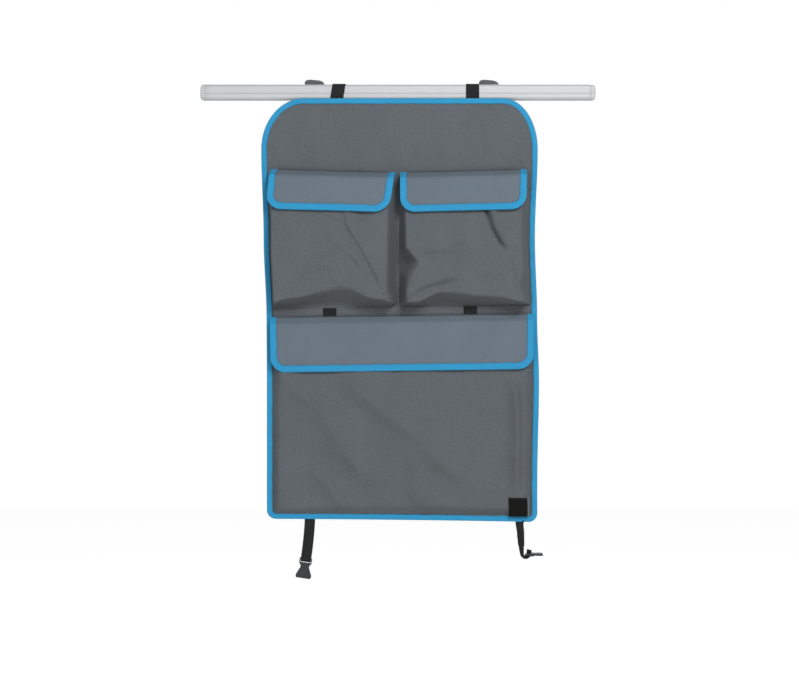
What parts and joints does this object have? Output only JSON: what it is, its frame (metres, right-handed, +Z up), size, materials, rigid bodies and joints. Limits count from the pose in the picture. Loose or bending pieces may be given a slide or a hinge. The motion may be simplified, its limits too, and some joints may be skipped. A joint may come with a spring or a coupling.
{
  "type": "tent organizer",
  "caption": "Hanging cloth organizer with flapped pockets, bound in blue tape, on webbing loops round a flat grooved rail, with buckle straps at its lower edge.",
  "frame": {"origin": "on the rail's centre line, above the middle of the panel", "axes": "+X along the rail to the right as seen from the front, +Y from the front to the back, +Z up"},
  "size_m": [0.752, 0.08, 0.9495],
  "materials": {
    "rail": "satin anodised",
    "cap": "moulded, light grey",
    "body_cloth": "plain woven polyester, grey",
    "flap_cloth": "coated woven polyester, blue grey",
    "binding": "ribbed binding tape, blue",
    "webbing": "woven webbing, black",
    "hook_and_loop": "hook and loop tape, black",
    "buckle": "moulded acetal, black"
  },
  "bodies": {
    "rail": {"hanging_rail": "rail", "rail_cap_left": "cap", "rail_cap_right": "cap"},
    "hanging_straps": {"strap_loop_left": "webbing", "strap_loop_right": "webbing", "rear_tab_left": "body_cloth", "rear_tab_right": "body_cloth"},
    "panel": {"back_panel": "body_cloth", "edge_binding": "binding", "strap_anchor_left": "webbing", "strap_anchor_right": "webbing", "tab_anchor_left": "body_cloth", "tab_anchor_right": "body_cloth", "pocket_left": "body_cloth", "pocket_right": "body_cloth", "large_pocket": "body_cloth", "pocket_hem_left": "body_cloth", "pocket_hem_right": "body_cloth", "pocket_hem_large": "body_cloth", "loop_tape_left": "hook_and_loop", "loop_tape_right": "hook_and_loop", "loop_tape_large": "hook_and_loop", "seam_band": "body_cloth", "seam_tab_left": "webbing", "seam_tab_right": "webbing", "label": "webbing", "bottom_anchor_left": "webbing", "bottom_anchor_right": "webbing"},
    "left_flap": {"flap_left": "flap_cloth", "flap_binding_left": "binding", "hook_tape_left": "hook_and_loop"},
    "right_flap": {"flap_right": "flap_cloth", "flap_binding_right": "binding", "hook_tape_right": "hook_and_loop"},
    "large_flap": {"flap_large": "flap_cloth", "flap_binding_large": "binding", "hook_tape_large": "hook_and_loop"},
    "left_strap": {"bottom_strap_left": "webbing"},
    "right_strap": {"bottom_strap_right": "webbing"},
    "socket": {"buckle_socket": "buckle"},
    "plug": {"buckle_plug": "buckle"}
  },
  "joints": [
    {"name": "straps_slide", "type": "slide", "parent": "rail", "child": "hanging_straps", "axis": [1, 0, 0], "range_m": [-0.18, 0.18]},
    {"name": "panel_swing", "type": "hinge", "parent": "hanging_straps", "child": "panel", "pos_m": [0, -0.012, -0.0135], "axis": [-1, 0, 0], "range_deg": [0, 60]},
    {"name": "left_flap_lift", "type": "hinge", "parent": "panel", "child": "left_flap", "pos_m": [-0.12318, -0.017, -0.1515], "axis": [-0.9997, 0, 0.0262], "range_deg": [0, 105]},
    {"name": "right_flap_lift", "type": "hinge", "parent": "panel", "child": "right_flap", "pos_m": [0.11981, -0.017, -0.1515], "axis": [-0.9997, 0, -0.0244], "range_deg": [0, 105]},
    {"name": "large_flap_lift", "type": "hinge", "parent": "panel", "child": "large_flap", "pos_m": [0.00449, -0.0179, -0.426], "axis": [-0.9999, 0, -0.0133], "range_deg": [0, 95]},
    {"name": "left_strap_swing", "type": "hinge", "parent": "panel", "child": "left_strap", "pos_m": [-0.1705, -0.01095, -0.81653], "axis": [-1, 0, 0], "range_deg": [-75, 75]},
    {"name": "right_strap_swing", "type": "hinge", "parent": "panel", "child": "right_strap", "pos_m": [0.2276, -0.01095, -0.81966], "axis": [-1, 0, 0], "range_deg": [-75, 75]},
    {"name": "socket_swing", "type": "hinge", "parent": "left_strap", "child": "socket", "pos_m": [-0.17796, -0.00778, -0.88803], "axis": [-0.9883, 0, 0.1524], "range_deg": [-60, 60]},
    {"name": "plug_turn", "type": "hinge", "parent": "right_strap", "child": "plug", "pos_m": [0.2406, -0.01095, -0.87899], "axis": [0, 1, 0], "range_deg": [-15, 90]}
  ]
}
